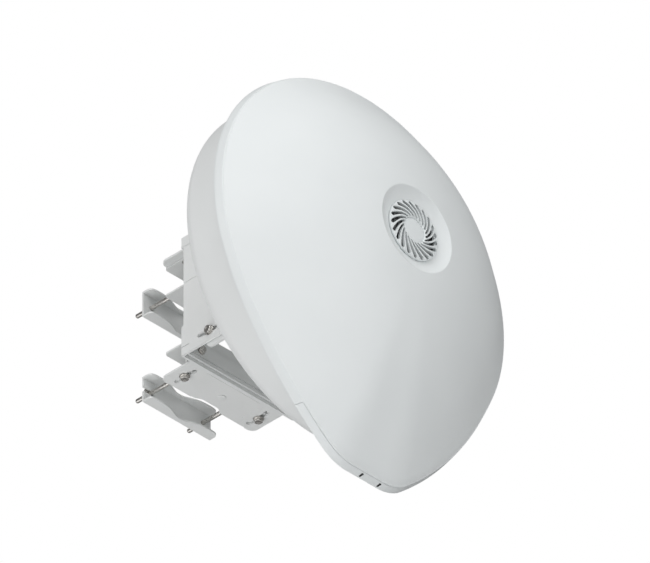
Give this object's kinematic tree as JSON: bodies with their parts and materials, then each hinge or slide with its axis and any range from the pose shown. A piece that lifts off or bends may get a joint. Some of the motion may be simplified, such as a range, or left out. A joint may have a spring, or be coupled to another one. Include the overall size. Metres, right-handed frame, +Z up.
{
  "type": "outdoor wireless bridge",
  "caption": "Round-topped dish radio in a sealed radome with a tapered chin and a central swirl vent, on a folded steel bracket that clamps to a mast and turns in azimuth and tilt.",
  "frame": {"origin": "on the axis of the mast, midway in height between the two pole clamps", "axes": "+Z up along the mast, the antenna looks along -Y, +X to the right of someone standing in front of it"},
  "size_m": [0.509, 0.455, 0.5936],
  "materials": {
    "cover_plastic": "fine satin texture",
    "housing_plastic": "fine satin texture",
    "vent_plastic": "satin",
    "bracket_paint": "white powder coat",
    "stainless_steel": "bright",
    "reflector_metal": "satin",
    "cast_metal": "as cast",
    "circuit_board": "solder resist",
    "plated_shield": "tin plate",
    "black_plastic": "moulded",
    "black_rubber": "matt"
  },
  "bodies": {
    "pole_mount": {"pole_channel_upper": "bracket_paint", "pole_channel_lower": "bracket_paint", "azimuth_pivot_upper": "bracket_paint", "azimuth_pivot_lower": "bracket_paint", "azimuth_lock_bolt_upper_left": "stainless_steel", "azimuth_lock_bolt_upper_right": "stainless_steel", "azimuth_lock_bolt_lower_left": "stainless_steel", "azimuth_lock_bolt_lower_right": "stainless_steel", "clamp_rod_upper_left": "stainless_steel", "clamp_rod_upper_right": "stainless_steel", "clamp_rod_lower_left": "stainless_steel", "clamp_rod_lower_right": "stainless_steel"},
    "upper_jaw": {"clamp_jaw_upper": "bracket_paint", "clamp_washer_upper_left": "stainless_steel", "clamp_washer_upper_right": "stainless_steel", "clamp_nut_upper_left": "stainless_steel", "clamp_nut_upper_right": "stainless_steel"},
    "lower_jaw": {"clamp_jaw_lower": "bracket_paint", "clamp_washer_lower_left": "stainless_steel", "clamp_washer_lower_right": "stainless_steel", "clamp_nut_lower_left": "stainless_steel", "clamp_nut_lower_right": "stainless_steel"},
    "azimuth_frame": {"azimuth_frame": "bracket_paint", "web_stiffener": "bracket_paint", "stiffener_bolt_left": "stainless_steel", "stiffener_bolt_right": "stainless_steel"},
    "antenna": {"front_radome": "cover_plastic", "vent_grille": "vent_plastic", "vent_cap": "vent_plastic", "rear_housing": "housing_plastic", "housing_gasket": "black_rubber", "parabolic_reflector": "reflector_metal", "reflector_hub": "black_plastic", "heat_sink": "cast_metal", "radio_case": "cast_metal", "radio_board": "circuit_board", "feed_horn": "reflector_metal", "radio_lead": "black_rubber", "main_board": "circuit_board", "port_shelf": "black_plastic", "ethernet_jack": "plated_shield", "fibre_cage": "plated_shield", "tilt_bracket": "bracket_paint", "bracket_screw_1": "stainless_steel", "bracket_screw_2": "stainless_steel", "bracket_screw_3": "stainless_steel", "bracket_screw_4": "stainless_steel", "ground_screw": "stainless_steel", "tilt_pivot_bolt_left": "stainless_steel", "tilt_pivot_bolt_right": "stainless_steel", "tilt_pivot_nut_left": "stainless_steel", "tilt_pivot_nut_right": "stainless_steel", "tilt_lock_bolt_left": "stainless_steel", "tilt_lock_bolt_right": "stainless_steel", "tilt_lock_nut_left": "stainless_steel", "tilt_lock_nut_right": "stainless_steel"},
    "chin_cover": {"chin_cover": "cover_plastic"},
    "reset_button": {"reset_button": "black_plastic"}
  },
  "joints": [
    {"name": "azimuth_turn", "type": "hinge", "parent": "pole_mount", "child": "azimuth_frame", "pos_m": [0, -0.05, 0], "axis": [0, 0, 1], "range_deg": [-10, 10]},
    {"name": "elevation_tilt", "type": "hinge", "parent": "azimuth_frame", "child": "antenna", "pos_m": [0, -0.129, 0.05], "axis": [1, 0, 0], "range_deg": [-8, 8]},
    {"name": "upper_jaw_slide", "type": "slide", "parent": "pole_mount", "child": "upper_jaw", "axis": [0, 1, 0], "range_m": [0, 0.012]},
    {"name": "lower_jaw_slide", "type": "slide", "parent": "pole_mount", "child": "lower_jaw", "axis": [0, 1, 0], "range_m": [0, 0.012]},
    {"name": "chin_cover_slide", "type": "slide", "parent": "antenna", "child": "chin_cover", "axis": [0, 0, -1], "range_m": [0, 0.09]},
    {"name": "reset_press", "type": "slide", "parent": "antenna", "child": "reset_button", "axis": [0, 0, 1], "range_m": [0, 0.001], "stiffness_N_per_m": 300, "springref_m": -0.001}
  ]
}
